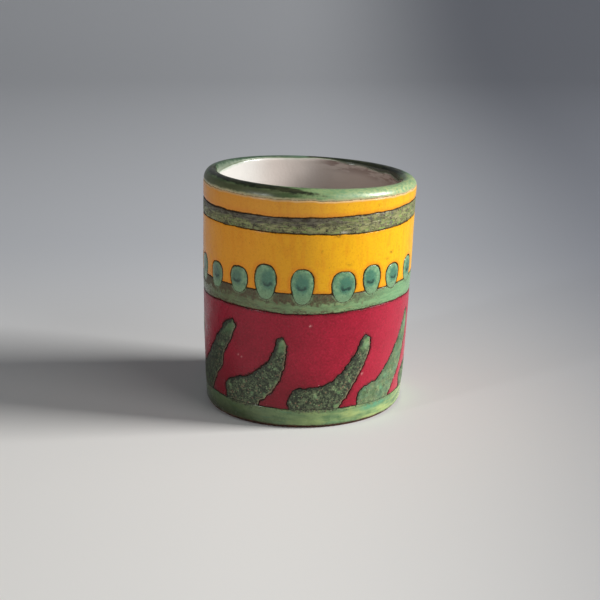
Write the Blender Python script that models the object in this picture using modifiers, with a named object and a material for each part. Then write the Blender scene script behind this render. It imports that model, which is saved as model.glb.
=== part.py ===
"""A small hand-painted ceramic cup: a turned clay body and the pools of coloured glaze fired onto it.

The painter draws dark lines on the clay and fills each field between them with its own glaze. The
glazes never meet: a narrow groove that follows the drawn line keeps each pool apart, so each pool is
a thin solid of its own that lies on the body.

Design values are in millimetres and degrees. Heights are measured from the foot. Angles go round
the cup from its front (-Y), positive towards +X. The meshes are in metres, +Z up, with the origin
under the middle of the cup, on the surface it stands on.
"""

import math

import bmesh
import bpy

MM = 0.001

# The cup's outside, glaze included
HEIGHT = 56.0
BASE_RADIUS = 23.8
FLARE = 3.01
BARREL = 1.46
LIP_START = 53.6
CREST_RADIUS = 23.15

# The cup's inside, glaze included
BORE_TOP_RADIUS = 22.0
BORE_TOP_HEIGHT = 54.8
BORE_LOW_RADIUS = 20.6
FLOOR_HEIGHT = 6.0
FLOOR_FILLET = 6.0

# Glaze and the grooves between its pools
GLAZE = 0.5
GAP = 0.3
SKIN = GLAZE + GAP

# The unglazed foot
FOOT_RADIUS = 23.4
FOOT_EDGE = 0.35
FOOT_HEIGHT = 0.55

# Where one painted field meets the next, from the foot to the rim
BASE_LOW = 0.7
BASE_TOP = 4.7
RED_TOP = 28.3
WAIST_TOP = 32.9
AMBER_TOP = 46.8
STRIPE_TOP = 50.6
COLLAR_TOP = 53.9
INSIDE_EDGE = 54.0

# Brush waves of those lines: height, amplitude, waves round the cup, phase in degrees
WAVES = (
    (0.0, 0.0, 1, 0.0),
    (BASE_TOP, 0.3, 1, 90.0),
    (RED_TOP, 0.3, 4, 0.0),
    (WAIST_TOP, 0.35, 2, 90.0),
    (AMBER_TOP, 0.4, 2, 90.0),
    (STRIPE_TOP, 0.0, 1, 0.0),
    (HEIGHT, 0.0, 1, 0.0),
)

# The hand-made cup leans a little, and its rim isn't level
LEAN = 0.0302
RIM_TILT_X = -0.0493
RIM_TILT_Y = -0.040

# Facets round the cup
STEPS = 48
FACET = 360.0 / STEPS

# The drops along the waist. Width, top and bottom of the usual one, then the ones that are set
# by hand, with their angle: number, then angle, width, top, bottom.
DROP_COUNT = 20
DROP_SIZE = (4.9, 38.0, 31.6)
DROPS_BY_HAND = {
    0: (-2.8, 5.2, 38.7, 30.6),
    1: (19.0, 5.7, 38.1, 30.8),
    2: (35.6, 4.9, 38.9, 31.9),
    3: (51.0, 4.9, 38.1, 32.1),
    4: (68.5, 4.8, 38.1, 32.0),
    16: (-75.0, 4.7, 37.6, 31.4),
    17: (-57.0, 4.7, 37.3, 31.3),
    18: (-39.0, 5.1, 37.7, 31.6),
    19: (-22.6, 5.3, 39.2, 31.1),
}
DROP_POINTS = 12
DROP_TAPER = 0.13
DROP_FULLNESS = 0.8

# The flames on the red field. Each outline starts at its lower left corner, goes over the tip and
# ends at its lower right corner: degrees from the first corner, height.
FLAME_FOOT = BASE_TOP + GAP / 2
FLAME_SHAPES = {
    "steep": (
        (0.0, FLAME_FOOT), (-1.8, 7.9), (4.0, 10.1), (15.5, 11.9), (25.5, 15.2), (30.8, 18.5),
        (32.5, 21.6), (35.5, 22.4), (38.0, 20.8), (37.8, 16.5), (35.5, 12.6), (31.0, 9.2),
        (24.5, 6.2), (20.5, FLAME_FOOT),
    ),
    "leaning": (
        (0.0, FLAME_FOOT), (-0.5, 7.2), (3.0, 9.7), (12.0, 10.2), (21.0, 11.0), (28.5, 13.5),
        (35.0, 17.0), (39.0, 20.4), (42.5, 21.9), (45.8, 20.2), (44.3, 16.6), (38.5, 12.0),
        (33.0, 7.8), (26.0, FLAME_FOOT),
    ),
    "long": (
        (0.0, FLAME_FOOT), (-0.4, 7.0), (3.0, 9.0), (12.0, 10.0), (20.5, 13.0), (29.5, 17.5),
        (36.0, 21.5), (41.5, 24.4), (44.0, 22.6), (42.0, 17.5), (37.0, 12.0), (30.5, 8.3),
        (22.5, FLAME_FOOT),
    ),
    "slim": (
        (0.0, FLAME_FOOT), (-0.5, 7.2), (4.0, 9.6), (13.0, 11.2), (23.5, 15.5), (31.0, 19.5),
        (40.0, 23.8), (44.5, 24.6), (47.0, 23.2), (44.0, 20.0), (38.0, 16.0), (35.5, 12.2),
        (30.0, 9.4), (22.5, FLAME_FOOT),
    ),
}
FLAME_ORDER = (
    "steep", "leaning", "long", "steep", "leaning", "long", "steep", "leaning", "slim",
)
FIRST_FLAME = -48.5
FLAME_PITCH = 360.0 / len(FLAME_ORDER)
FLAME_SMOOTH = 2

COLOURS = {
    "clay": ((0.13, 0.06, 0.035), 0.85),
    "white": ((0.78, 0.72, 0.70), 0.2),
    "green": ((0.06, 0.19, 0.10), 0.2),
    "amber": ((0.78, 0.38, 0.02), 0.22),
    "olive": ((0.13, 0.13, 0.06), 0.4),
    "celadon": ((0.17, 0.32, 0.16), 0.3),
    "red": ((0.33, 0.02, 0.05), 0.25),
    "sage": ((0.12, 0.20, 0.11), 0.45),
    "leaf": ((0.16, 0.36, 0.15), 0.25),
    "turquoise": ((0.08, 0.28, 0.22), 0.25),
}


def clear_scene():
    for obj in list(bpy.data.objects):
        bpy.data.objects.remove(obj, do_unlink=True)


def new_collection(name):
    collection = bpy.data.collections.new(name)
    bpy.context.scene.collection.children.link(collection)
    return collection


def material(name):
    mat = bpy.data.materials.get(name)
    if mat is None:
        colour, roughness = COLOURS[name]
        mat = bpy.data.materials.new(name)
        mat.use_nodes = True
        shader = mat.node_tree.nodes["Principled BSDF"]
        shader.inputs["Base Color"].default_value = (*colour, 1.0)
        shader.inputs["Roughness"].default_value = roughness
        shader.inputs["Metallic"].default_value = 0.0
    return mat


# The cup's outlines

def side_radius(height):
    """Outside radius at a height below the lip: a slight flare with a slight barrel."""
    t = height / HEIGHT
    return BASE_RADIUS + FLARE * t - BARREL * t * t


def bore_radius(height):
    """Inside radius of the straight wall above the floor's fillet."""
    low = FLOOR_HEIGHT + FLOOR_FILLET
    t = (height - low) / (BORE_TOP_HEIGHT - low)
    return BORE_LOW_RADIUS + (BORE_TOP_RADIUS - BORE_LOW_RADIUS) * t


def lip_outside(inset, turn):
    """A point of the lip's outer half: turn 0 at the side wall, 90 at the crest."""
    width = side_radius(LIP_START) - CREST_RADIUS - inset
    rise = HEIGHT - LIP_START - inset
    t = math.radians(turn)
    return CREST_RADIUS + width * math.cos(t), LIP_START + rise * math.sin(t)


def lip_inside(inset, turn):
    """A point of the lip's inner half: turn 0 at the bore, 90 at the crest."""
    width = CREST_RADIUS - BORE_TOP_RADIUS - inset
    rise = HEIGHT - BORE_TOP_HEIGHT - inset
    t = math.radians(turn)
    return CREST_RADIUS - width * math.cos(t), BORE_TOP_HEIGHT + rise * math.sin(t)


def lip_turn(inset, height):
    """The outer lip's turn at a height."""
    return math.degrees(math.asin((height - LIP_START) / (HEIGHT - LIP_START - inset)))


def outside_radius(height):
    """Outside radius at any height below the crest."""
    if height <= LIP_START:
        return side_radius(height)
    return lip_outside(0.0, lip_turn(0.0, height))[0]


def fillet(extra, turns):
    """The bore's corner at the floor, from the wall (0) to the floor (90), set back into the clay."""
    centre = BORE_LOW_RADIUS - FLOOR_FILLET
    radius = FLOOR_FILLET + extra
    return [
        (
            centre + radius * math.cos(math.radians(t)),
            FLOOR_HEIGHT + FLOOR_FILLET - radius * math.sin(math.radians(t)),
        )
        for t in turns
    ]


def spread(start, end, count):
    """Evenly spaced values from start to end, both included."""
    return [start + (end - start) * i / (count - 1) for i in range(count)]


def clay_profile():
    side = [(side_radius(z) - SKIN, z) for z in spread(LIP_START, FOOT_HEIGHT, 6)]
    foot = [(FOOT_RADIUS, FOOT_HEIGHT), (FOOT_RADIUS, FOOT_EDGE), (FOOT_RADIUS - FOOT_EDGE, 0.0)]
    floor = [(0.0, 0.0), (0.0, FLOOR_HEIGHT - SKIN)]
    corner = fillet(SKIN, (90, 60, 30, 0))
    inner_lip = [lip_inside(SKIN, t) for t in (0, 45, 90)]
    inner_lip[0] = (bore_radius(BORE_TOP_HEIGHT) + SKIN, BORE_TOP_HEIGHT)
    outer_lip = [lip_outside(SKIN, t) for t in (60, 30)]
    return outer_lip + side + foot + floor + corner + inner_lip


def lining_profile():
    top = INSIDE_EDGE - GAP
    shown = fillet(0.0, (0, 30, 60, 90))
    back = fillet(GLAZE, (90, 60, 30, 0))
    return [
        (bore_radius(top) + GLAZE, top),
        *reversed(back),
        (0.0, FLOOR_HEIGHT - GLAZE),
        (0.0, FLOOR_HEIGHT),
        *reversed(shown),
        (bore_radius(top), top),
    ]


def rim_profile():
    low = COLLAR_TOP + GAP / 2
    shown = lip_turn(0.0, low)
    back = lip_turn(GLAZE, low)
    return [
        *(lip_outside(0.0, t) for t in spread(90, shown, 5)),
        *(lip_outside(GLAZE, t) for t in spread(back, 90, 4)),
        *(lip_inside(GLAZE, t) for t in (45, 0)),
        (bore_radius(INSIDE_EDGE) + GLAZE, INSIDE_EDGE),
        (bore_radius(INSIDE_EDGE), INSIDE_EDGE),
        *(lip_inside(0.0, t) for t in (0, 30, 60)),
    ]


def band_profile(low, high, rows):
    """A pool that goes all the way round, half a groove short of each drawn line."""
    heights = spread(high - GAP / 2, low + GAP / 2, rows)
    shown = [(outside_radius(z), z) for z in heights]
    back = [(outside_radius(z) - GLAZE, z) for z in reversed(heights)]
    return shown + back


# Turned pieces

def turned(name, profile, collection, colour):
    """Turn a closed profile of (radius, height) about Z. It has no edge along the axis."""
    mesh = bpy.data.meshes.new(name)
    points = [(r * MM, 0.0, z * MM) for r, z in profile]
    count = len(points)
    edges = [(i, (i + 1) % count) for i in range(count)]
    edges = [(i, j) for i, j in edges if points[i][0] or points[j][0]]
    mesh.from_pydata(points, edges, [])
    obj = bpy.data.objects.new(name, mesh)
    collection.objects.link(obj)
    obj.data.materials.append(material(colour))
    screw = obj.modifiers.new("turn", "SCREW")
    screw.axis = "Z"
    screw.angle = math.radians(360)
    screw.steps = STEPS
    screw.render_steps = STEPS
    screw.use_merge_vertices = True
    screw.merge_threshold = 0.00001
    return obj


# Painted pieces

def smooth_chain(points, steps):
    """Points on a smooth curve through an open chain of points (Catmull-Rom)."""
    result = []
    padded = [points[0], *points, points[-1]]
    for i in range(1, len(padded) - 2):
        a, b, c, d = padded[i - 1:i + 3]
        for k in range(steps):
            t = k / steps
            result.append(tuple(
                0.5 * (
                    2 * b[n] + (c[n] - a[n]) * t
                    + (2 * a[n] - 5 * b[n] + 4 * c[n] - d[n]) * t * t
                    + (3 * b[n] - a[n] - 3 * c[n] + d[n]) * t ** 3
                )
                for n in (0, 1)
            ))
    result.append(points[-1])
    return result


def arc_length(degrees):
    """Length along the wall, at the radius of the foot."""
    return math.radians(degrees) * BASE_RADIUS


def flame_outline(index):
    start = FIRST_FLAME + index * FLAME_PITCH
    shape = FLAME_SHAPES[FLAME_ORDER[index]]
    chain = [(arc_length(start + turn), height) for turn, height in shape]
    return smooth_chain(chain, FLAME_SMOOTH)


def drop_outline(index):
    """An egg with full sides, wider at the top."""
    usual = (index * 360.0 / DROP_COUNT, *DROP_SIZE)
    centre, width, top, bottom = DROPS_BY_HAND.get(index, usual)
    outline = []
    for k in range(DROP_POINTS):
        t = 2 * math.pi * k / DROP_POINTS
        across = math.copysign(abs(math.cos(t)) ** DROP_FULLNESS, math.cos(t))
        half = width / 2 * across * (1 + DROP_TAPER * math.sin(t))
        height = (top + bottom) / 2 + (top - bottom) / 2 * math.sin(t)
        outline.append((arc_length(centre) - half, height))
    return outline


def grown(outline, margin):
    """The outline moved outwards. Both kinds of outline run clockwise."""
    result = []
    count = len(outline)
    for i, (x, z) in enumerate(outline):
        before, after = outline[i - 1], outline[(i + 1) % count]
        normals = []
        for start, end in ((before, (x, z)), ((x, z), after)):
            dx, dz = end[0] - start[0], end[1] - start[1]
            length = math.hypot(dx, dz)
            normals.append((-dz / length, dx / length))
        nx = normals[0][0] + normals[1][0]
        nz = normals[0][1] + normals[1][1]
        size = 1 + normals[0][0] * normals[1][0] + normals[0][1] * normals[1][1]
        result.append((x + margin * nx / size, z + margin * nz / size))
    return result


def flat_plate(name, outline, depth):
    """A flat plate cut from a filled outline, as a mesh in the XY plane centred on Z = 0."""
    curve = bpy.data.curves.new(name, "CURVE")
    curve.dimensions = "2D"
    curve.fill_mode = "BOTH"
    curve.extrude = depth / 2 * MM
    spline = curve.splines.new("POLY")
    spline.points.add(len(outline) - 1)
    for point, (x, z) in zip(spline.points, outline):
        point.co = (x * MM, z * MM, 0.0, 1.0)
    spline.use_cyclic_u = True
    obj = bpy.data.objects.new(name, curve)
    bpy.context.scene.collection.objects.link(obj)
    depsgraph = bpy.context.evaluated_depsgraph_get()
    mesh = bpy.data.meshes.new_from_object(obj.evaluated_get(depsgraph))
    bpy.data.objects.remove(obj, do_unlink=True)
    bpy.data.curves.remove(curve)
    mesh.name = name
    return mesh


def wrap(mesh, middle_depth, first_fold):
    """Bend a flat plate round the wall, with a fold at every facet's width from the first one."""
    shape = bmesh.new()
    shape.from_mesh(mesh)
    bmesh.ops.remove_doubles(shape, verts=shape.verts, dist=0.001 * MM)
    left = min(v.co.x for v in shape.verts)
    right = max(v.co.x for v in shape.verts)
    start, step = arc_length(first_fold) * MM, arc_length(FACET) * MM
    for k in range(math.ceil((left - start) / step), math.floor((right - start) / step) + 1):
        geometry = [*shape.verts, *shape.edges, *shape.faces]
        place = (start + k * step, 0, 0)
        bmesh.ops.bisect_plane(
            shape, geom=geometry, dist=0.01 * MM, plane_co=place, plane_no=(1, 0, 0)
        )
    bmesh.ops.triangulate(shape, faces=shape.faces)
    for vert in shape.verts:
        along, height, out = vert.co.x / MM, vert.co.y / MM, vert.co.z / MM
        turn = along / BASE_RADIUS
        half = math.radians(FACET) / 2
        facet = math.floor((turn - math.radians(first_fold)) / (2 * half))
        middle = math.radians(first_fold) + (facet + 0.5) * 2 * half
        radius = outside_radius(height) + middle_depth + out
        radius *= math.cos(half) / math.cos(turn - middle)
        vert.co = (radius * math.sin(turn) * MM, -radius * math.cos(turn) * MM, height * MM)
    bmesh.ops.recalc_face_normals(shape, faces=shape.faces)
    if shape.calc_volume(signed=True) < 0:
        bmesh.ops.reverse_faces(shape, faces=shape.faces)
    shape.to_mesh(mesh)
    shape.free()


def painted(name, outline, collection, colour):
    """A pool of glaze with its own outline, as thick as the bands and folded where they are."""
    mesh = flat_plate(name, outline, GLAZE)
    wrap(mesh, -GLAZE / 2, 0.0)
    obj = bpy.data.objects.new(name, mesh)
    collection.objects.link(obj)
    obj.data.materials.append(material(colour))
    return obj


def cutter(name, outline, collection):
    """The same outline, a groove wider all round, deep enough to cut right through a band.

    It folds between the band's own edges, so that no edge of the one lies on an edge of the other.
    """
    mesh = flat_plate(name, grown(outline, GAP), 3 * GLAZE)
    wrap(mesh, -GLAZE / 2, FACET / 2)
    obj = bpy.data.objects.new(name, mesh)
    obj.hide_render = True
    obj.display_type = "WIRE"
    collection.objects.link(obj)
    return obj


def cut(obj, tools):
    for tool in tools:
        boolean = obj.modifiers.new(tool.name, "BOOLEAN")
        boolean.operation = "DIFFERENCE"
        boolean.solver = "EXACT"
        boolean.object = tool


# The hand-made shape

def brush_wave(turn, height):
    """How far a painted line wanders up or down, blended between one line and the next."""
    for lower, upper in zip(WAVES, WAVES[1:]):
        if height <= upper[0]:
            break
    waves = [
        -size * math.cos(count * turn - math.radians(phase))
        for _, size, count, phase in (lower, upper)
    ]
    share = min(1.0, max(0.0, (height - lower[0]) / (upper[0] - lower[0])))
    return waves[0] + (waves[1] - waves[0]) * share


def leaned(x, y, z):
    """Where a point of the true cup is on the cup that leans and has a tilted rim."""
    rim = min(1.0, max(0.0, (z - STRIPE_TOP) / (HEIGHT - STRIPE_TOP)))
    tilt = rim * (RIM_TILT_X * x + RIM_TILT_Y * y)
    return x + LEAN * z, y, z + tilt


def bake(obj, wavy):
    """Apply the modifiers, then give the mesh the hand-made shape."""
    depsgraph = bpy.context.evaluated_depsgraph_get()
    mesh = bpy.data.meshes.new_from_object(obj.evaluated_get(depsgraph))
    obj.modifiers.clear()
    obj.data = mesh
    for vert in mesh.vertices:
        x, y, z = (value / MM for value in vert.co)
        if wavy:
            z += brush_wave(math.atan2(x, -y), z)
        x, y, z = leaned(x, y, z)
        vert.co = (x * MM, y * MM, z * MM)


def centre(objects):
    """Put the origin under the middle of the box round the whole cup."""
    places = [vert.co for obj in objects for vert in obj.data.vertices]
    middle_x = (min(p.x for p in places) + max(p.x for p in places)) / 2
    middle_y = (min(p.y for p in places) + max(p.y for p in places)) / 2
    for obj in objects:
        for vert in obj.data.vertices:
            vert.co.x -= middle_x
            vert.co.y -= middle_y


def build():
    clear_scene()
    cup = new_collection("shot_cup")
    tools = new_collection("cutters")

    drops = []
    drop_tools = []
    for index in range(DROP_COUNT):
        outline = drop_outline(index)
        drops.append(painted(f"drop_{index + 1:02d}", outline, cup, "turquoise"))
        drop_tools.append(cutter(f"cut_drop_{index + 1:02d}", outline, tools))

    flames = []
    flame_tools = []
    for index in range(len(FLAME_ORDER)):
        outline = flame_outline(index)
        flames.append(painted(f"flame_{index + 1}", outline, cup, "sage"))
        flame_tools.append(cutter(f"cut_flame_{index + 1}", outline, tools))

    body = turned("clay_body", clay_profile(), cup, "clay")
    lining = turned("lining_glaze", lining_profile(), cup, "white")
    rim = turned("rim_glaze", rim_profile(), cup, "green")
    collar = turned("collar_glaze", band_profile(STRIPE_TOP, COLLAR_TOP, 2), cup, "amber")
    stripe = turned("stripe_glaze", band_profile(AMBER_TOP, STRIPE_TOP, 2), cup, "olive")
    amber = turned("amber_glaze", band_profile(WAIST_TOP, AMBER_TOP, 2), cup, "amber")
    waist = turned("waist_glaze", band_profile(RED_TOP, WAIST_TOP, 2), cup, "celadon")
    red = turned("red_glaze", band_profile(BASE_TOP, RED_TOP, 4), cup, "red")
    base = turned("base_glaze", band_profile(BASE_LOW, BASE_TOP, 2), cup, "leaf")
    cut(amber, drop_tools)
    cut(waist, drop_tools)
    cut(red, flame_tools)

    plain = [body, lining, rim]
    pools = [collar, stripe, amber, waist, red, base, *drops, *flames]
    for piece in plain:
        bake(piece, wavy=False)
    for piece in pools:
        bake(piece, wavy=True)
    pieces = plain + pools
    centre(pieces)
    for piece in pieces:
        piece.data.shade_smooth()
        piece.data.set_sharp_from_angle(angle=math.radians(35))


build()
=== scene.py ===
"""Looks for a small hand-painted ceramic cup: clay, coloured glazes, studio light and camera.

Every CAD solid is replaced by a fine one of the same outline. Sizes are in millimetres until a
mesh is made. A place on the cup is (along, up): the distance round it from the front (-Y),
positive towards +X, and the distance up its outline from the foot, over the lip and down inside.
"""

import math

import bpy
import numpy as np
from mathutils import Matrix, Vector


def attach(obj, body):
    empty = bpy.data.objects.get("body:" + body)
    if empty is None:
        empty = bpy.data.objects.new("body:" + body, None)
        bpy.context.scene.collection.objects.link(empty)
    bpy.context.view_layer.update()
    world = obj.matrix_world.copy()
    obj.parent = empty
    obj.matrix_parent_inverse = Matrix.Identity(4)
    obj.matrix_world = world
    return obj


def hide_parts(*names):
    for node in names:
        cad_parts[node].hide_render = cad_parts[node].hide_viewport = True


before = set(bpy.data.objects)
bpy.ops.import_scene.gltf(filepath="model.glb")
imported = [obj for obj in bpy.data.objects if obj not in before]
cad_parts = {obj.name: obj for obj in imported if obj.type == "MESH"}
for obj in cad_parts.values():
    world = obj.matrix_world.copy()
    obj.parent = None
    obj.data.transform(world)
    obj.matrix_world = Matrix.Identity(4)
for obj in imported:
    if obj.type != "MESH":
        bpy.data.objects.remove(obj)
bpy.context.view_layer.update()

MM = 0.001

# The cup's outside and inside, glaze included, as in the CAD model
HEIGHT = 56.0
BASE_RADIUS = 23.8
FLARE = 3.01
BARREL = 1.46
LIP_START = 53.6
CREST_RADIUS = 23.15
BORE_TOP_RADIUS = 22.0
BORE_TOP_HEIGHT = 54.8
BORE_LOW_RADIUS = 20.6
FLOOR_HEIGHT = 6.0
FLOOR_FILLET = 6.0
FOOT_RADIUS = 23.4
FOOT_EDGE = 0.35
FOOT_HEIGHT = 0.55

# The painted fields' borders, from the foot to the rim
BASE_LOW = 0.7
BASE_TOP = 4.7
RED_TOP = 28.3
WAIST_TOP = 32.9
AMBER_TOP = 46.8
STRIPE_TOP = 50.6
COLLAR_TOP = 53.9
RIM_INSIDE = 55.6

# Brush waves of those borders: height, amplitude, waves round the cup, phase in degrees
WAVES = (
    (0.0, 0.0, 1, 0.0),
    (BASE_TOP, 0.3, 1, 90.0),
    (RED_TOP, 0.3, 4, 0.0),
    (WAIST_TOP, 0.35, 2, 90.0),
    (AMBER_TOP, 0.4, 2, 90.0),
    (STRIPE_TOP, 0.0, 1, 0.0),
    (HEIGHT, 0.0, 1, 0.0),
)

# The cup leans to the right, by this much for each mm up. Its rim is lower at the right and back
LEAN = 0.0302
RIM_TILT_X = -0.0493
RIM_TILT_Y = -0.040

# Handmade unevenness, in layers of noise: size, cell, seed
OUT_OF_ROUND = ((0.10, 17.0, 1), (0.035, 5.0, 2))
BORDER_WOBBLE = ((0.10, 2.6, 11), (0.05, 0.8, 12))
RIM_WOBBLE = ((0.25, 5.0, 41), (0.1, 1.4, 42))
FLAME_WOBBLE = ((0.2, 1.1, 21), (0.18, 0.45, 22))
DROP_WOBBLE = ((0.05, 1.1, 31), (0.045, 0.45, 32))
LINE_WOBBLE = ((0.05, 1.6, 13),)
NOISE_ROWS = 512
NOISE_START = 7.3

# Drops: the usual width, top and bottom, then the ones given one by one, with their angle first
DROP_COUNT = 20
DROP_SIZE = (4.9, 38.0, 31.6)
DROPS_BY_HAND = {
    0: (-2.8, 5.2, 38.7, 30.6),
    1: (19.0, 5.7, 38.1, 30.8),
    2: (35.6, 4.9, 38.9, 31.9),
    3: (51.0, 4.9, 38.1, 32.1),
    4: (68.5, 4.8, 38.1, 32.0),
    16: (-75.0, 4.7, 37.6, 31.4),
    17: (-57.0, 4.7, 37.3, 31.3),
    18: (-39.0, 5.1, 37.7, 31.6),
    19: (-22.6, 5.3, 39.2, 31.1),
}
DROP_POINTS = 40
DROP_TAPER = 0.13
DROP_FULLNESS = 0.8
DROP_MELT = 1.2

# Flames: degrees from the lower left corner, and height, over the tip to the lower right corner
FLAME_FOOT = 3.9
FLAME_SHAPES = {
    "steep": (
        (0.0, FLAME_FOOT), (-1.8, 7.9), (4.0, 10.1), (15.5, 11.9), (25.5, 15.2), (30.8, 18.5),
        (32.5, 21.6), (35.5, 22.4), (38.0, 20.8), (37.8, 16.5), (35.5, 12.6), (31.0, 9.2),
        (24.5, 6.2), (20.5, FLAME_FOOT),
    ),
    "leaning": (
        (0.0, FLAME_FOOT), (-0.5, 7.2), (3.0, 9.7), (12.0, 10.2), (21.0, 11.0), (28.5, 13.5),
        (35.0, 17.0), (39.0, 20.4), (42.5, 21.9), (45.8, 20.2), (44.3, 16.6), (38.5, 12.0),
        (33.0, 7.8), (26.0, FLAME_FOOT),
    ),
    "long": (
        (0.0, FLAME_FOOT), (-0.4, 7.0), (3.0, 9.0), (12.0, 10.0), (20.5, 13.0), (29.5, 17.5),
        (36.0, 21.5), (41.5, 24.4), (44.0, 22.6), (42.0, 17.5), (37.0, 12.0), (30.5, 8.3),
        (22.5, FLAME_FOOT),
    ),
    "slim": (
        (0.0, FLAME_FOOT), (-0.5, 7.2), (4.0, 9.6), (13.0, 11.2), (23.5, 15.5), (31.0, 19.5),
        (40.0, 23.8), (44.5, 24.6), (47.0, 23.2), (44.0, 20.0), (38.0, 16.0), (35.5, 12.2),
        (30.0, 9.4), (22.5, FLAME_FOOT),
    ),
}
FLAME_ORDER = (
    "steep", "leaning", "long", "steep", "leaning", "long", "steep", "leaning", "slim",
)
FIRST_FLAME = -48.5
FLAME_PITCH = 360.0 / len(FLAME_ORDER)
FLAME_SMOOTH = 6
FLAME_MELT = 1.0
LEE_STEP = 0.35
FOOT_BLUR = 1.5
FOOT_LOW = 3.0

# How thickly each flame is speckled
FLAME_GRAIN = [1.1, 1.0, 0.5, 0.6, 1.0, 1.0, 0.5, 1.0, 1.25]

# Green that ran down inside the rim: angle, width in degrees, length
DRIPS = (
    (150.0, 14.0, 0.7), (128.0, 12.0, 1.6), (106.0, 11.0, 2.3), (80.0, 14.0, 1.2),
    (20.0, 12.0, 0.6), (-102.0, 26.0, 1.5),
)

# The rim's painted shade, a nearly black green. In front, by angle: how far over the rim its middle
# is, and its reach
FRONT_SHADE_MIDDLE = ((-100, 0.85), (-40, 0.72), (-15, 0.52), (8, 0.24))
FRONT_SHADE_REACH = ((-112, -0.2), (-84, 0.45), (-40, 0.42), (-15, 0.30), (3, 0.18), (14, 0.0))
BACK_SHADE_TURN = 142.0
BACK_SHADE_HALF = 48.0
BACK_SHADE_FADE = 16.0
BACK_SHADE_START = 0.55
BACK_SHADE_RISE = 0.2
FRONT_SHADE_FADE = 0.25

# The white's painted light on the left and painted shade on the right: the depth down to which it
# is full, and its fading
WHITE_DEPTH = 12
WHITE_FADE = 25

# Specks, pits and puddles: strength, angle, height, half width, half height
RED_HOLES = (
    (1.0, 2.0, 25.6, 0.2, 0.2), (1.0, 33.0, 12.4, 0.18, 0.18),
    (0.6, -39.5, 16.4, 0.18, 0.18), (0.6, -37.0, 16.0, 0.16, 0.16),
)
AMBER_SPECKS = (
    (0.9, 49.0, 41.0, 0.55, 0.35), (0.45, 46.0, 39.6, 0.7, 0.4), (0.5, 21.5, 39.6, 0.6, 0.3),
    (0.4, 6.5, 43.0, 0.4, 0.3), (0.9, 15.0, 46.5, 0.7, 0.3), (0.5, -128.0, 42.0, 0.7, 0.4),
)
COLLAR_SPECKS = ((0.5, 38.0, 52.3, 0.4, 0.3),)
STRIPE_CHIPS = ((0.8, 17.5, 47.2, 0.9, 0.25),)
BASE_PUDDLES = ((1.1, 40.0, 3.7, 3.6, 1.0), (0.8, 50.0, 4.0, 3.0, 0.7))

# How the glazes lie on the clay: the drawn line's half width and depth, and a pool's edge
GROOVE = 0.09
SEAM = 0.02
LINE_DEPTH = 0.26
BACK_DEPTH = 0.22
EDGE_DROP = 0.11
EDGE_ROUND = 0.4
EDGE_ROWS = (0.0, 0.05, 0.15, 0.4)
EDGE_REACH = 4
POOL_SWELL = 0.08
SWELL_REACH = 0.8
SHARP_ANGLE = 50
FAR = 99.0

# The wall laid flat: the radius that it is measured at, and its whole length
WALL_RADIUS = 24.9
GIRTH = 2 * math.pi * WALL_RADIUS

# How finely the meshes are cut, and how far past a figure they are looked for
RING_STEP = 0.32
RING_MARGIN = 0.5
POOL_STEP = 0.22
POOL_MARGIN = 0.6
FIGURE_MARGIN = 2.0
LEAST_SHARE = 0.06
HOOP_STEP = 0.4
RIM_STEP = 0.2
TURN_STEPS = 420

# The lining's even rows: their number, and how far from its edge and its middle they lie
LINING_ROWS = 150
LINING_EDGE = 0.8
LINING_HOLE = 0.5

# The camera, from the cup's foot
CAMERA_DISTANCE = 340.9
CAMERA_ELEVATION = 16.3
CAMERA_LENS = 84.2
CAMERA_SENSOR = 36.0
CAMERA_SHIFT = (-0.0053, -0.0262)

# The lights: name, angle round, angle up, distance and size in metres, watts, colour
LIGHTS = (
    ("key", 84.0, 26.0, 0.9, (0.30, 0.30), 11.3, (1.0, 0.985, 0.965)),
    ("side", 48.0, 30.0, 1.0, (0.5, 0.4), 1.8, (1.0, 1.0, 1.0)),
    ("left", -52.0, 13.0, 0.9, (0.07, 0.30), 1.4, (0.95, 0.97, 1.0)),
)
WORLD_COLOUR = (0.92, 0.95, 1.0, 1.0)
WORLD_STRENGTH = 0.09

# The floor and the backdrop that it curves up into, in metres
FLOOR_HALF_WIDTH = 2.0
FLOOR_FRONT = -1.2
FLOOR_BEND = 0.55
BACKDROP_RADIUS = 0.6
BACKDROP_TOP = 2.0
BACKDROP_STEPS = 12


# Shape

def side_radius(height):
    """Outside radius at a height below the lip: a slight flare with a slight barrel."""
    t = height / HEIGHT
    return BASE_RADIUS + FLARE * t - BARREL * t * t


def glazed_outline():
    """The glazed surface from the foot to the middle of the inner floor: up, radius, height."""
    side = np.linspace(0, LIP_START, 240)
    over = np.radians(np.arange(3, 91, 3))
    lip_width = side_radius(LIP_START) - CREST_RADIUS
    inner_width = CREST_RADIUS - BORE_TOP_RADIUS
    back = np.radians(np.arange(87, -1, -3))
    bore = np.linspace(BORE_TOP_HEIGHT, FLOOR_HEIGHT + FLOOR_FILLET, 90)[1:]
    bore_share = (bore - bore[-1]) / (BORE_TOP_HEIGHT - bore[-1])
    corner = np.radians(np.arange(5, 91, 5))
    centre = BORE_LOW_RADIUS - FLOOR_FILLET
    floor = np.linspace(centre, 0, 30)[1:]
    radius = np.concatenate([
        side_radius(side),
        CREST_RADIUS + lip_width * np.cos(over),
        CREST_RADIUS - inner_width * np.cos(back),
        BORE_LOW_RADIUS + (BORE_TOP_RADIUS - BORE_LOW_RADIUS) * bore_share,
        centre + FLOOR_FILLET * np.cos(corner),
        floor,
    ])
    height = np.concatenate([
        side,
        LIP_START + (HEIGHT - LIP_START) * np.sin(over),
        BORE_TOP_HEIGHT + (HEIGHT - BORE_TOP_HEIGHT) * np.sin(back),
        bore,
        FLOOR_HEIGHT + FLOOR_FILLET * (1 - np.sin(corner)),
        np.full_like(floor, FLOOR_HEIGHT),
    ])
    steps = np.hypot(np.diff(radius), np.diff(height))
    steps[:len(side) - 1] = np.diff(side)
    return np.concatenate([[0.0], np.cumsum(steps)]), radius, height


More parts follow.
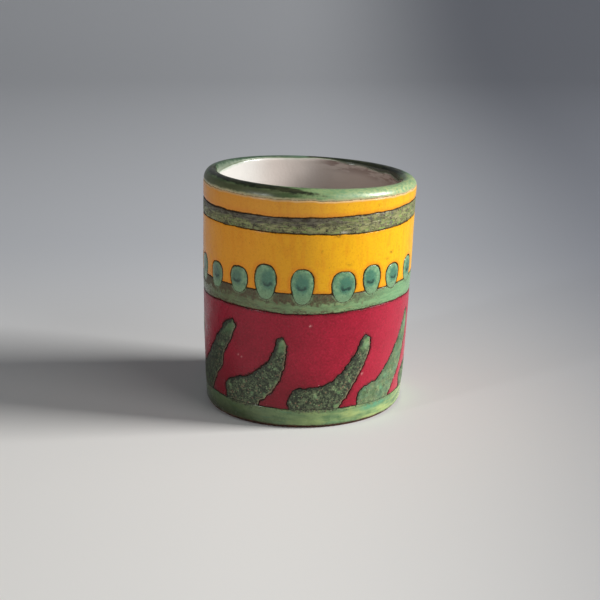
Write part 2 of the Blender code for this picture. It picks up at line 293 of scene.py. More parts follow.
UP, RADIUS, UP_HEIGHT = glazed_outline()
SLOPE = np.hypot(np.gradient(RADIUS, UP), np.gradient(UP_HEIGHT, UP))
OUT_RADIUS = np.gradient(UP_HEIGHT, UP) / SLOPE
OUT_HEIGHT = -np.gradient(RADIUS, UP) / SLOPE
SIDE_HEIGHTS = np.linspace(0, LIP_START, 200)
MIDDLE_X = (
    (side_radius(SIDE_HEIGHTS) + LEAN * SIDE_HEIGHTS).max()
    - (side_radius(SIDE_HEIGHTS) - LEAN * SIDE_HEIGHTS).max()
) / 2
CREST_UP = UP[UP_HEIGHT.argmax()]
PAST_CREST = UP > CREST_UP
INSIDE_UP = np.interp(-RIM_INSIDE, -UP_HEIGHT[PAST_CREST], UP[PAST_CREST])


def noise(along, up, cell, seed):
    """Smooth noise from -1 to 1 with no seam at the back."""
    columns, rows = max(3, round(GIRTH / cell)), NOISE_ROWS
    lattice = np.random.default_rng(seed).uniform(-1, 1, (columns, rows))
    x = (along / GIRTH) % 1.0 * columns
    y = (up / cell + NOISE_START) % rows
    column, row = np.floor(x).astype(int), np.floor(y).astype(int)
    fx, fy = x - column, y - row
    fx, fy = fx * fx * (3 - 2 * fx), fy * fy * (3 - 2 * fy)
    column, row = column % columns, row % rows
    right, above = (column + 1) % columns, (row + 1) % rows
    low = lattice[column, row] * (1 - fx) + lattice[right, row] * fx
    high = lattice[column, above] * (1 - fx) + lattice[right, above] * fx
    return low * (1 - fy) + high * fy


def unevenness(along, up, layers):
    """Layers of noise added up."""
    return sum(size * noise(along, up, cell, seed) for size, cell, seed in layers)


def place(turn):
    """How far along the wall an angle in degrees is."""
    return np.radians(turn) * WALL_RADIUS


def offset(along, middle):
    """How far along from the middle, the short way round."""
    return (along - middle + GIRTH / 2) % GIRTH - GIRTH / 2


def brush_wave(turn, up):
    """How far a painted border wanders up or down."""
    heights = [wave[0] for wave in WAVES]
    total = np.zeros_like(up)
    for k, (_, size, count, phase) in enumerate(WAVES):
        share = np.interp(up, heights, np.eye(len(WAVES))[k])
        total -= share * size * np.cos(count * turn - math.radians(phase))
    return total


def handmade(turn, radius, height):
    """Points in metres: the true turned shape, a little out of round, leaning, its rim tilted."""
    uneven = unevenness(turn * WALL_RADIUS, height, OUT_OF_ROUND)
    radius = radius + uneven * np.clip(radius / 15.0, 0, 1)
    x, y = radius * np.sin(turn), -radius * np.cos(turn)
    rim = np.clip((height - STRIPE_TOP) / (HEIGHT - STRIPE_TOP), 0, 1)
    tilt = rim * (RIM_TILT_X * x + RIM_TILT_Y * y)
    return np.stack([x + LEAN * height - MIDDLE_X, y, height + tilt], axis=-1) * MM


def on_cup(along, up, depth):
    """Points in metres of the glazed surface, depth out from it."""
    turn = along / WALL_RADIUS
    up = up + brush_wave(turn, up)
    radius = np.interp(up, UP, RADIUS) + depth * np.interp(up, UP, OUT_RADIUS)
    height = np.interp(up, UP, UP_HEIGHT) + depth * np.interp(up, UP, OUT_HEIGHT)
    return handmade(turn, radius, height)


# Where the fields end

def border(along, height):
    """A painted border's own height, with the brush's small unevenness."""
    return height + unevenness(along, height, BORDER_WOBBLE)


def groove(along, up):
    """Half the width of the drawn line at a place."""
    return GROOVE + unevenness(along, up, LINE_WOBBLE)


def smooth_chain(points, steps):
    """Points on a smooth curve through an open chain of points (Catmull-Rom)."""
    padded = np.array([points[0], *points, points[-1]], float)
    result = []
    for a, b, c, d in zip(padded, padded[1:], padded[2:], padded[3:]):
        for t in np.arange(steps) / steps:
            result.append(
                0.5 * (
                    2 * b + (c - a) * t + (2 * a - 5 * b + 4 * c - d) * t ** 2
                    + (3 * b - a - 3 * c + d) * t ** 3
                )
            )
    return np.array([*result, padded[-1]])


def flame_outline(index):
    shape = np.array(FLAME_SHAPES[FLAME_ORDER[index]])
    turn = FIRST_FLAME + index * FLAME_PITCH + shape[:, 0]
    return smooth_chain(np.stack([place(turn), shape[:, 1]], 1), FLAME_SMOOTH)


def drop_facts(index):
    """A drop's middle along the wall, width, top and bottom."""
    usual = (index * 360.0 / DROP_COUNT, *DROP_SIZE)
    turn, width, top, bottom = DROPS_BY_HAND.get(index, usual)
    return place(turn), width, top, bottom


def drop_outline(index):
    """An egg with full sides, wider at the top."""
    middle, width, top, bottom = drop_facts(index)
    t = -2 * np.pi * np.arange(DROP_POINTS) / DROP_POINTS
    across = np.copysign(np.abs(np.cos(t)) ** DROP_FULLNESS, np.cos(t))
    half = width / 2 * across * (1 + DROP_TAPER * np.sin(t))
    return np.stack([middle + half, (top + bottom) / 2 + (top - bottom) / 2 * np.sin(t)], 1)


def inside_distance(along, up, outline):
    """Distance into a closed outline, negative outside it."""
    start, end = outline, np.roll(outline, -1, axis=0)
    edge = end - start
    length = (edge ** 2).sum(1)
    px, py = along[:, None] - start[:, 0], up[:, None] - start[:, 1]
    t = np.clip((px * edge[:, 0] + py * edge[:, 1]) / length, 0, 1)
    distance = np.sqrt(((px - t * edge[:, 0]) ** 2 + (py - t * edge[:, 1]) ** 2).min(1))
    crosses = (start[:, 1] > up[:, None]) != (end[:, 1] > up[:, None])
    rise = np.where(edge[:, 1] == 0, 1.0, edge[:, 1])
    hits = crosses & (px < py * edge[:, 0] / rise)
    return np.where(hits.sum(1) % 2 == 1, distance, -distance)


def figure_field(along, up, outline, wobble):
    """Distance into a painted figure with a brushed edge. Far outside it is only a rough one."""
    middle = outline[:, 0].mean()
    along = middle + offset(along, middle)
    low, high = outline.min(0) - FIGURE_MARGIN, outline.max(0) + FIGURE_MARGIN
    close = (along > low[0]) & (along < high[0]) & (up > low[1]) & (up < high[1])
    field = np.full(along.shape, -FIGURE_MARGIN)
    along, up = along[close], up[close]
    field[close] = inside_distance(along, up, outline) + unevenness(along, up, wobble)
    return field


FLAMES = [flame_outline(k) for k in range(len(FLAME_ORDER))]
DROPS = [drop_outline(k) for k in range(DROP_COUNT)]


def flame_field(along, up, index):
    return figure_field(along, up, FLAMES[index], FLAME_WOBBLE)


def drop_field(along, up, index):
    return figure_field(along, up, DROPS[index], DROP_WOBBLE)


def outside_flames(along, up):
    """Distance from the nearest flame."""
    return -np.max([flame_field(along, up, k) for k in range(len(FLAMES))], axis=0)


def outside_drops(along, up):
    """Distance from the nearest drop."""
    return -np.max([drop_field(along, up, k) for k in range(DROP_COUNT)], axis=0)


def band(along, up, low, high):
    """Distance into the band between two painted borders."""
    return np.minimum(up - border(along, low), border(along, high) - up)


def red_field(along, up):
    inside = np.minimum(band(along, up, BASE_TOP, RED_TOP), outside_flames(along, up))
    return inside - groove(along, up)


def drop_drawn(up):
    """1 where a drop has a line round it, 0 where it runs into the waist."""
    return np.clip((up - WAIST_TOP + DROP_MELT) / DROP_MELT, 0, 1)


def drop_groove(along, up):
    return SEAM + (groove(along, up) - SEAM) * drop_drawn(up)


def waist_field(along, up):
    inside = band(along, up, RED_TOP, WAIST_TOP) - groove(along, up)
    return np.minimum(inside, outside_drops(along, up) - drop_groove(along, up))


def amber_field(along, up):
    inside = np.minimum(band(along, up, WAIST_TOP, AMBER_TOP), outside_drops(along, up))
    return inside - groove(along, up)


def one_flame(along, up, index):
    """A flame has no drawn line at its foot: it runs into the band under it."""
    foot = up - border(along, BASE_TOP) - SEAM
    return np.minimum(flame_field(along, up, index) - groove(along, up), foot)


def one_drop(along, up, index):
    return drop_field(along, up, index) - drop_groove(along, up)


# Meshes

def quads(*corners):
    """Two triangles for each face, from its four corners in order."""
    a, b, c, d = (corner.ravel() for corner in corners)
    return np.concatenate([np.stack([a, b, c], 1), np.stack([a, c, d], 1)])


def grid(left, right, low, high, step):
    """A flat sheet of triangles over a rectangle of the wall: points and triangles."""
    columns = max(2, round((right - left) / step) + 1)
    rows = max(2, round((high - low) / step) + 1)
    along, up = np.meshgrid(np.linspace(left, right, columns), np.linspace(low, high, rows))
    index = np.arange(columns * rows).reshape(rows, columns)
    triangles = quads(index[:-1, :-1], index[:-1, 1:], index[1:, 1:], index[1:, :-1])
    return np.stack([along.ravel(), up.ravel()], 1), triangles


def split(points, values, triangles, level):
    """Cut the triangles that cross a level, so that edges run along it."""
    above = values > level
    count = above[triangles].sum(1)
    crossing = (count == 1) | (count == 2)
    whole, cut = triangles[~crossing], triangles[crossing]
    odd = (above[cut] == (count[crossing] == 1)[:, None]).argmax(1)
    a, b, c = (cut[np.arange(len(cut)), (odd + k) % 3] for k in range(3))
    pairs = np.sort(np.concatenate([np.stack([a, b], 1), np.stack([a, c], 1)]), axis=1)
    ends, which = np.unique(pairs, axis=0, return_inverse=True)
    which = which.ravel()
    first, last = ends.T
    share = (level - values[first]) / (values[last] - values[first])
    new = points[first] + share[:, None] * (points[last] - points[first])
    ab, ac = np.split(len(points) + which, 2)
    triangles = np.concatenate([
        whole, np.stack([a, ab, ac], 1), np.stack([ab, b, c], 1), np.stack([ab, c, ac], 1),
    ])
    return np.concatenate([points, new]), np.append(values, np.full(len(new), level)), triangles


def trimmed(points, triangles, field, step):
    """The part of a sheet where its field is positive, with rows of edges beside its border."""
    values = field(*points.T)
    least = LEAST_SHARE * step
    for level in EDGE_ROWS:
        values = np.where(np.abs(values - level) < least, level + least, values)
    for level in EDGE_ROWS:
        points, values, triangles = split(points, values, triangles, level)
    triangles = triangles[(values[triangles] >= 0).all(1)]
    return points, values, triangles


def without_strays(points, values, triangles):
    """Drop the points of no triangle."""
    used, triangles = np.unique(triangles, return_inverse=True)
    return points[used], values[used], triangles.reshape(-1, 3)


def welded(points, values, triangles):
    """Join the two ends of a sheet that goes right round."""
    keys = np.round(np.stack([points[:, 0] % GIRTH % GIRTH, points[:, 1]], 1), 4)
    keys[:, 0] %= round(GIRTH, 4)
    _, first, joined = np.unique(keys, axis=0, return_index=True, return_inverse=True)
    triangles = joined.ravel()[triangles]
    points, values = points[first], values[first]
    distinct = (triangles != np.roll(triangles, 1, axis=1)).all(1)
    return without_strays(points, values, triangles[distinct])


def edge_profile(values, swell):
    """Depth of the surface at a distance from the border: rounded off, then a slight swell."""
    t = np.clip(values / EDGE_ROUND, 0, 1)
    rounding = EDGE_DROP * (1 - np.sqrt(1 - (1 - t) ** 2))
    return swell * (1 - np.exp(-values / SWELL_REACH)) - rounding


def closed_mesh(node, points, values, triangles, swell=0.0, relief=None):
    """A thin solid: the sheet's front, its back and a wall along every free edge.

    relief, if given, is a share for each point: 0 where it runs level into the next pool.
    """
    count = len(points)
    front = edge_profile(values, swell)
    if relief:
        front = front * relief(points)
    places = np.concatenate([on_cup(*points.T, front), on_cup(*points.T, -BACK_DEPTH)])
    edges = np.concatenate([triangles[:, [0, 1]], triangles[:, [1, 2]], triangles[:, [2, 0]]])
    forward = edges[:, 0].astype(np.int64) * count + edges[:, 1]
    backward = edges[:, 1].astype(np.int64) * count + edges[:, 0]
    i, j = edges[~np.isin(forward, backward)].T
    walls = quads(i, i + count, j + count, j)
    return new_mesh(node, places, np.concatenate([triangles, triangles[:, ::-1] + count, walls]))


def new_mesh(node, places, faces):
    mesh = bpy.data.meshes.new(f"{node}_fine")
    mesh.from_pydata(places.tolist(), [], faces.tolist())
    mesh.validate()
    mesh.shade_smooth()
    mesh.set_sharp_from_angle(angle=math.radians(SHARP_ANGLE))
    return mesh


def store(mesh, name, values):
    """Keep a number for each vertex, for the materials. A front's numbers serve its back too."""
    copies = len(mesh.vertices) // len(values)
    attribute = mesh.attributes.new(name, "FLOAT", "POINT")
    attribute.data.foreach_set("value", np.tile(values, copies).astype(np.float32))


def add_piece(mesh, node, material):
    """Show a mesh in place of a CAD node."""
    obj = bpy.data.objects.new(f"{node}_fine", mesh)
    bpy.context.scene.collection.objects.link(obj)
    mesh.materials.append(material)
    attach(obj, "root")
    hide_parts(node)
    return obj


def glazed(node, low, high, sheet, swell=0.0, relief=None):
    """A sheet made solid, with the usual numbers for the materials: the distance from the
    border, the share of the way up, the height, and how far to the right.
    """
    points, values, _ = sheet
    mesh = closed_mesh(node, *sheet, swell, relief)
    store(mesh, "edge", np.clip(values, 0, EDGE_REACH))
    store(mesh, "rise", (points[:, 1] - low) / (high - low))
    store(mesh, "up", points[:, 1])
    store(mesh, "side", np.sin(points[:, 0] / WALL_RADIUS))
    return mesh, points


def drop_gap(points):
    """Distance to the nearest drop, at most 2."""
    return np.clip(outside_drops(*points.T), 0, 2)


def waist_relief(points):
    """Level with the drops where they run into it."""
    level = (1 - drop_drawn(points[:, 1])) * np.clip(1.4 - drop_gap(points), 0, 1)
    return 1 - level


def flame_feet(points, shares=(1.0,) * len(FLAMES)):
    """Each flame's share over its foot, 0 between two flames."""
    feet = np.zeros(len(points))
    for outline, share in zip(FLAMES, shares):
        left, right = outline[0, 0], outline[-1, 0]
        middle, half = (left + right) / 2, (right - left) / 2
        inward = half - np.abs(offset(points[:, 0], middle))
        feet = np.maximum(feet, share * np.clip(0.5 + inward / FOOT_BLUR, 0, 1))
    return feet


def spots(points, table):
    """Soft round patches, each at its strength in the middle."""
    total = np.zeros(len(points))
    for strength, turn, height, width, tall in table:
        x = offset(points[:, 0], place(turn)) / width
        total += strength * np.exp(-x ** 2 - ((points[:, 1] - height) / tall) ** 2)
    return total


def ring(node, field, low, high, relief=None):
    """A pool that goes right round the wall, with figures cut out of it."""
    whole = grid(-GIRTH / 2, GIRTH / 2, low - RING_MARGIN, high + RING_MARGIN, RING_STEP)
    sheet = welded(*trimmed(*whole, field, RING_STEP))
    return glazed(node, low, high, sheet, relief=relief)


def pool(node, low, high, outline, field, relief):
    """A painted figure."""
    left, bottom = outline.min(0) - POOL_MARGIN
    right, top = outline.max(0) + POOL_MARGIN
    whole = grid(left, right, bottom, top, POOL_STEP)
    sheet = without_strays(*trimmed(*whole, field, POOL_STEP))
    return glazed(node, low, high, sheet, POOL_SWELL, relief)


def rounds(rows):
    """Faces between rows that go right round, the rows' points, and the next point of each."""
    index = np.arange(rows * TURN_STEPS).reshape(rows, TURN_STEPS)
    after = np.roll(index, -1, axis=1)
    return quads(index[:-1], after[:-1], after[1:], index[1:]), index, after


def hoop_sheet(lower, upper, rows, closed_top=False):
    """A sheet between two borders, each a function of the place along the wall.

    rows are shares of the way up. With closed_top the last row is joined to one point.
    """
    along = np.arange(TURN_STEPS) * GIRTH / TURN_STEPS - GIRTH / 2
    start, end = lower(along), upper(along)
    up = start + (end - start) * np.array(rows)[:, None]
    points = np.stack([np.tile(along, len(rows)), up.ravel()], 1)
    triangles, index, after = rounds(len(rows))
    values = np.minimum(up - start, FAR if closed_top else end - up).ravel()
    if closed_top:
        points = np.concatenate([points, [[0.0, UP[-1]]]])
        values = np.append(values, FAR)
        tip = np.full(TURN_STEPS, len(points) - 1)
        triangles = np.concatenate([triangles, np.stack([index[-1], after[-1], tip], 1)])
    return points, np.maximum(values, 0), triangles


def edge_shares(width, step):
    """Shares of the way across a hoop, closer together beside its borders."""
    near_edge = np.array(EDGE_ROWS) / width
    middle = np.linspace(near_edge[-1], 1 - near_edge[-1], max(3, round(width / step)))
    return np.concatenate([near_edge[:-1], middle, 1 - near_edge[:-1][::-1]])


def hoop(node, low, high, lower, upper, step=HOOP_STEP, relief=None):
    """A pool between two borders that lie about the heights low and high."""
    sheet = hoop_sheet(lower, upper, edge_shares(high - low, step))
    return glazed(node, low, high, sheet, relief=relief)


def upper_side(height):
    """A hoop's border: the upper side of a drawn line."""
    return lambda along: border(along, height) + groove(along, height)


def lower_side(height):
    """A hoop's border: the lower side of a drawn line."""
    return lambda along: border(along, height) - groove(along, height)


def lined_hoop(node, low, high):
    """A hoop between two drawn lines."""
    return hoop(node, low, high, upper_side(low), lower_side(high))


def rim_edge(along):
    """Where the rim's green ends inside, with its drips."""
    end = INSIDE_UP + unevenness(along, 0.0, RIM_WOBBLE)
    for turn, width, length in DRIPS:
        end = end + length * np.exp(-(offset(along, place(turn)) / place(width)) ** 2)
    return end


def rim_painted_shade(along, rise):
    """Where the rim's green is painted nearly black as shade: the front left and the back right."""
    turn = np.degrees(offset(along, 0.0) / WALL_RADIUS)
    middle = np.interp(turn, *np.transpose(FRONT_SHADE_MIDDLE))
    reach = np.interp(turn, *np.transpose(FRONT_SHADE_REACH))
    front = np.clip((reach - np.abs(rise - middle)) / FRONT_SHADE_FADE, 0, 1)
    aside = np.abs(np.degrees(offset(along, place(BACK_SHADE_TURN)) / WALL_RADIUS))
    back = np.clip((BACK_SHADE_HALF - aside) / BACK_SHADE_FADE, 0, 1)
    return np.maximum(front, back * np.clip((rise - BACK_SHADE_START) / BACK_SHADE_RISE, 0, 1))


def clay_mesh():
    """The body under the glazes, from the middle of its underside to the middle of its floor."""
    covered = UP >= BASE_LOW + 0.2
    radius = RADIUS[covered] - LINE_DEPTH * OUT_RADIUS[covered]
    height = UP_HEIGHT[covered] - LINE_DEPTH * OUT_HEIGHT[covered]
    round_edge = np.radians(np.arange(-90, 1, 15))
    foot_radius = FOOT_RADIUS - FOOT_EDGE + FOOT_EDGE * np.cos(round_edge)
    foot_height = FOOT_EDGE + FOOT_EDGE * np.sin(round_edge)
    under = np.linspace(0.6, foot_radius[0], 40)[:-1]
    radius = np.concatenate([under, foot_radius, [FOOT_RADIUS, FOOT_RADIUS], radius[:-1]])
    height = np.concatenate([under * 0, foot_height, [FOOT_HEIGHT - 0.1, FOOT_HEIGHT], height[:-1]])
    up = np.concatenate([np.full(len(under), -1.0), foot_height, [0.5, 0.6], UP[covered][:-1]])
    steps = TURN_STEPS
    turn = np.tile(np.arange(steps) * 2 * np.pi / steps, len(radius))
    places = handmade(turn, np.repeat(radius, steps), np.repeat(height, steps))
    sides, index, after = rounds(len(radius))
    caps = handmade(np.zeros(2), np.zeros(2), np.array([0.0, height[-1]]))
    low, high = (np.full(steps, len(places) + k) for k in (0, 1))
    places = np.concatenate([places, caps])
    bottom, top = np.stack([after[0], index[0], low], 1), np.stack([index[-1], after[-1], high], 1)
    faces = np.concatenate([sides, bottom, top])
    mesh = new_mesh("clay_body", places, faces)
    store(mesh, "up", np.append(np.repeat(up, steps), [-1.0, UP[-1]]))
    wall = np.stack([turn * WALL_RADIUS, np.repeat(up, steps)], 1)
    feet = flame_feet(wall) * (np.abs(wall[:, 1] - BASE_TOP) < 0.6)
    store(mesh, "foot", np.append(feet, [0.0, 0.0]))
    return mesh


# Materials

def linear(colour):
    """A node's colour from three screen values, 0 to 255."""
    shares = [value / 255 for value in colour]
    return (*(v / 12.92 if v <= 0.04045 else ((v + 0.055) / 1.055) ** 2.4 for v in shares), 1.0)


# Speckled glazes: the two colours of the mottle, then each kind of dot's colour and share
SAGE_GRAIN = (
    (36, 40, 28), (96, 108, 78),
    (((128, 148, 108), 0.32), ((142, 110, 88), 0.24), ((12, 13, 8), 0.82)),
)
OLIVE_GRAIN = (
    (78, 74, 52), (136, 138, 92),
    (((124, 108, 92), 0.3), ((34, 30, 22), 0.45)),
)
CELADON_GRAIN = (
    (88, 92, 62), (116, 138, 94),
    (((140, 106, 76), 0.4), ((44, 38, 26), 0.4)),
)


class Paint:
    """A material, and short ways to add the nodes used here. Sizes are in millimetres.

    A colour is a node's, or three screen values from 0 to 255. self.colour is the surface's own,
    which start begins and lay adds to.
    """

    def __init__(self, name):
        self.material = bpy.data.materials.new(name)
        self.material.use_nodes = True
        self.nodes = self.material.node_tree.nodes
        self.links = self.material.node_tree.links
        self.shader = self.nodes["Principled BSDF"]
        place = self.node("ShaderNodeTexCoord").outputs["Object"]
        scale = self.node("ShaderNodeVectorMath", {"Scale": 1 / MM}, operation="SCALE")
        self.put(scale.inputs[0], place)
        self.place = scale.outputs[0]

    def node(self, kind, inputs=None, **settings):
        node = self.nodes.new(kind)
        for key, value in settings.items():
            setattr(node, key, value)
        for key, value in (inputs or {}).items():
            self.put(node.inputs[key], value)
        return node

    def put(self, socket, value):
        if isinstance(value, bpy.types.NodeSocket):
            self.links.new(value, socket)
        else:
            socket.default_value = value

    def math(self, operation, first, second):
        return self.node("ShaderNodeMath", {0: first, 1: second}, operation=operation).outputs[0]

    def times(self, first, *others):
        for other in others:
            first = self.math("MULTIPLY", first, other)
        return first

    def plus(self, first, second, share=1.0):
        """The first number with a share of the second added."""
        inputs = {0: second, 1: share, 2: first}
        return self.node("ShaderNodeMath", inputs, operation="MULTIPLY_ADD").outputs[0]

    def fact(self, name):
        """A number stored on the mesh."""
        return self.node("ShaderNodeAttribute", attribute_name=name).outputs["Fac"]

    def facts(self, *names):
        return [self.fact(name) for name in names]

    def moved(self, seed, stretch):
        inputs = {0: self.place, 1: stretch, 2: (seed * 17.3, seed * 5.1, seed * 9.7)}
        return self.node("ShaderNodeVectorMath", inputs, operation="MULTIPLY_ADD").outputs[0]

    def cloud(self, size, seed, detail=2.0, rough=0.5, stretch=(1.0, 1.0, 1.0)):
        """Soft noise, mostly from 0.3 to 0.7, with features of about this size."""
        inputs = {
            "Vector": self.moved(seed, stretch), "Scale": 1 / size, "Detail": detail,
            "Roughness": rough,
        }
        return self.node("ShaderNodeTexNoise", inputs).outputs["Fac"]

    def streaks(self, size, seed, length=6.0):
        """Brush streaks that run round the cup."""
        split = self.node("ShaderNodeSeparateXYZ", {0: self.place})
        flat = self.node("ShaderNodeCombineXYZ", {
            0: self.times(split.outputs[0], 1 / length),
            1: self.plus(seed * 13.7, split.outputs[1], 1 / length),
            2: self.fact("up"),
        })
        inputs = {"Vector": flat.outputs[0], "Scale": 1 / size, "Detail": 3.0, "Roughness": 0.55}
        return self.node("ShaderNodeTexNoise", inputs).outputs["Fac"]

    def dots(self, spacing, radius, share, seed):
        """Round dots, 1 inside: about one to a cell, in only a share of the cells."""
        inputs = {"Vector": self.moved(seed, (1.0, 1.0, 1.0)), "Scale": 1 / spacing}
        cell = self.node("ShaderNodeTexVoronoi", inputs)
        size = radius / spacing
        dot = self.ramp(cell.outputs["Distance"], size, size * 0.5)
        pick = self.node("ShaderNodeSeparateColor", {"Color": cell.outputs["Color"]}).outputs[0]
        return self.times(dot, self.math("LESS_THAN", pick, share))

    def ramp(self, value, start, end, low=0.0, high=1.0):
        """Low at start, high at end, smooth between them."""
        if start > end:
            start, end, low, high = end, start, high, low
        inputs = {"Value": value, "From Min": start, "From Max": end, "To Min": low, "To Max": high}
        node = self.node("ShaderNodeMapRange", inputs, interpolation_type="SMOOTHSTEP")
        return node.outputs["Result"]

    def mix(self, share, first, second):
        """The first colour with a share of the second over it."""
        node = self.node("ShaderNodeMix", data_type="RGBA")
        self.put(node.inputs[0], share)
        for k, colour in ((6, first), (7, second)):
            self.put(node.inputs[k], linear(colour) if isinstance(colour, tuple) else colour)
        return node.outputs[2]

    def start(self, share, first, second):
        self.colour = self.mix(share, first, second)

    def lay(self, colour, *shares):
        """Lay a colour over the surface's, by the product of the shares."""
        self.colour = self.mix(self.times(*shares), self.colour, colour)

    def grain(self, dark, light, dots):
        """A fine mottle under several kinds of dots, and the noise behind the mottle."""
        tone = self.cloud(0.8, 2, detail=4.0, rough=0.75)
        colour = self.mix(self.ramp(tone, 0.42, 0.58), dark, light)
        for k, (dot_colour, share) in enumerate(dots):
            colour = self.mix(self.dots(0.5, 0.24, share, 70 + k), colour, dot_colour)
        return colour, tone

    def bump(self, height, distance, normal=None):
        inputs = {"Height": height, "Strength": 1.0, "Distance": distance * MM}
        if normal is not None:
            inputs["Normal"] = normal
        return self.node("ShaderNodeBump", inputs).outputs["Normal"]

    def done(self, roughness, specular, normal=None):
        """The finished material."""
        self.put(self.shader.inputs["Base Color"], self.colour)
        self.put(self.shader.inputs["Roughness"], roughness)
        self.shader.inputs["Specular IOR Level"].default_value = specular
        if normal is not None:
            self.put(self.shader.inputs["Normal"], normal)
        return self.material

    def glossy(self, low, high, specular=0.5):
        """Finish as a smooth fired glaze with gentle dimples, its roughness from low to high."""
        normal = self.bump(self.cloud(3.5, 51, detail=0.0), 0.10)
        normal = self.bump(self.cloud(0.8, 50, detail=1.0), 0.03, normal)
        roughness = self.ramp(self.cloud(3.0, 52), 0.35, 0.65, low, high)
        return self.done(roughness, specular, normal)

    def grainy(self, noise, density):
        """Finish as a glaze that is drier and rougher where it is speckled."""
        normal = self.bump(self.cloud(3.5, 51, detail=0.0), 0.10)
        normal = self.bump(self.times(noise, density), 0.10, normal)
        roughness = self.ramp(density, 0.0, 1.0, 0.26, 0.55)
        return self.done(roughness, 0.4, normal)

    def outline(self, line, width, beading=0.8, share=1.0):
        """Darken the colour beside the drawn line: a soft ragged strip and a row of dots."""
        edge = self.fact("edge")
        ragged = self.plus(edge, self.cloud(0.5, 61, detail=3.0), width * 1.6)
        strip = self.ramp(ragged, width * 1.7, width * 0.6)
        strip = self.times(strip, self.ramp(self.cloud(1.7, 62), 0.32, 0.5, 0.35, 1.0))
        beads = self.times(self.dots(0.5, 0.2, 0.6, 63), self.ramp(edge, width * 2.6, width * 1.2))
        self.lay(line, self.math("MAXIMUM", strip, self.times(beads, beading)), share)


def amber_glaze():
    paint = Paint("amber_glaze")
    edge, side, low_side, collar = paint.facts("edge", "side", "low_side", "collar")
    # Painted light and shade: more orange on the shaded left, yellower on the lit right.
    paint.start(paint.ramp(side, -0.8, 0.6), (238, 160, 46), (242, 182, 26))
    upright = paint.cloud(1.3, 2, stretch=(1.0, 1.0, 0.25))
    paint.lay((226, 130, 30), paint.ramp(upright, 0.48, 0.68, 0.0, 0.25))
    fine = paint.cloud(0.45, 3, detail=3.0, rough=0.7)
    paint.lay((200, 120, 20), paint.ramp(fine, 0.48, 0.66, 0.0, 0.3))
    thin = paint.ramp(paint.plus(edge, paint.cloud(0.7, 4)), 1.7, 0.55)
    paint.lay((228, 130, 36), thin, paint.plus(0.15, low_side, 0.4))
    # Painted shade: the collar a duller tan towards the left.
    paint.lay((214, 150, 84), collar, paint.ramp(side, 0.6, -0.2, 0.05, 0.3))
    under_rim = paint.times(paint.ramp(low_side, 0.6, 0.4), collar)
    paint.lay((226, 190, 140), paint.ramp(edge, 0.45, 0.05), under_rim, 0.8)
    paint.lay((126, 74, 20), paint.dots(2.2, 0.15, 0.35, 5), 0.55)
    smudge = paint.times(paint.fact("mark"), paint.ramp(paint.cloud(0.5, 6), 0.35, 0.55))
    paint.lay((112, 74, 22), smudge)
    paint.outline((84, 56, 18), 0.18, beading=0.25, share=paint.plus(1.0, under_rim, -1.0))
    return paint.glossy(0.16, 0.26, specular=0.18)


def red_glaze():
    paint = Paint("red_glaze")
    edge, side, rise = paint.facts("edge", "side", "rise")
    paint.start(paint.ramp(paint.cloud(6.0, 1), 0.3, 0.7), (154, 20, 44), (166, 24, 50))
    fine = paint.cloud(0.45, 2, detail=3.0, rough=0.8)
    paint.lay((112, 12, 28), paint.ramp(fine, 0.5, 0.66, 0.0, 0.5))
    paint.lay((200, 40, 72), paint.ramp(fine, 0.48, 0.34, 0.0, 0.45))
    thin = paint.ramp(paint.plus(edge, paint.cloud(0.8, 3)), 1.4, 0.5)
    paint.lay((96, 10, 20), thin, 0.5)
    # Painted light and shade: pinker towards the lit right, darker on the shaded left and darkest
    # low on the left.
    paint.lay((200, 62, 84), paint.ramp(side, 0.3, 1.0, 0.0, 0.3))
    paint.lay((96, 8, 22), paint.ramp(side, 0.1, -0.7, 0.0, 0.28))
    paint.lay((96, 8, 18), paint.ramp(rise, 0.6, 0.0), paint.ramp(side, 0.9, -0.3), 0.6)
    holes = paint.dots(3.4, 0.17, 0.3, 4)
    beside = paint.times(paint.dots(1.5, 0.17, 0.22, 7), paint.ramp(edge, 1.0, 0.3))
    paint.lay((226, 150, 150), paint.math("MAXIMUM", holes, beside), 0.65)
    paint.lay((240, 176, 172), paint.fact("mark"))
    paint.lay((70, 8, 16), paint.dots(2.3, 0.14, 0.25, 5), 0.6)
    paint.outline((48, 18, 14), 0.24)
    return paint.glossy(0.24, 0.36, specular=0.3)


def sage_glaze():
    paint = Paint("sage_glaze")
    edge, rise, lee, grain = paint.facts("edge", "rise", "lee", "grain")
    paint.start(paint.ramp(paint.cloud(1.6, 1), 0.35, 0.65), (100, 134, 86), (140, 164, 116))
    cool = paint.plus(0.75, grain, -0.5)
    paint.lay((104, 160, 126), paint.ramp(paint.cloud(2.2, 7), 0.45, 0.6), cool)
    speckles, noise = paint.grain(*SAGE_GRAIN)
    patches = paint.ramp(paint.cloud(2.4, 3), 0.26, 0.42)
    body = paint.times(paint.ramp(rise, 0.92, 0.7), patches)
    shade = paint.times(paint.ramp(lee, -0.1, 0.6), paint.ramp(edge, 1.3, 0.2))
    density = paint.math("MINIMUM", paint.times(paint.math("MAXIMUM", body, shade), grain), 1.0)
    paint.lay(speckles, density, 0.95)
    paint.lay((26, 28, 20), paint.dots(0.75, 0.18, 0.6, 4), 0.85)
    clumps = paint.times(paint.ramp(paint.cloud(1.1, 5), 0.5, 0.64), density, 0.55)
    paint.lay((36, 42, 30), clumps)
    paint.lay((30, 34, 26), shade, grain, 0.5)
    sunny = paint.times(paint.ramp(lee, 0.0, -0.5), paint.ramp(edge, 0.5, 0.15))
    paint.lay((156, 136, 106), sunny, paint.ramp(rise, 0.0, 0.06), 0.6)
    paint.lay((20, 20, 14), paint.ramp(grain, 1.0, 1.4, 0.0, 0.6))
    paint.outline((26, 24, 18), 0.26)
    return paint.grainy(noise, density)


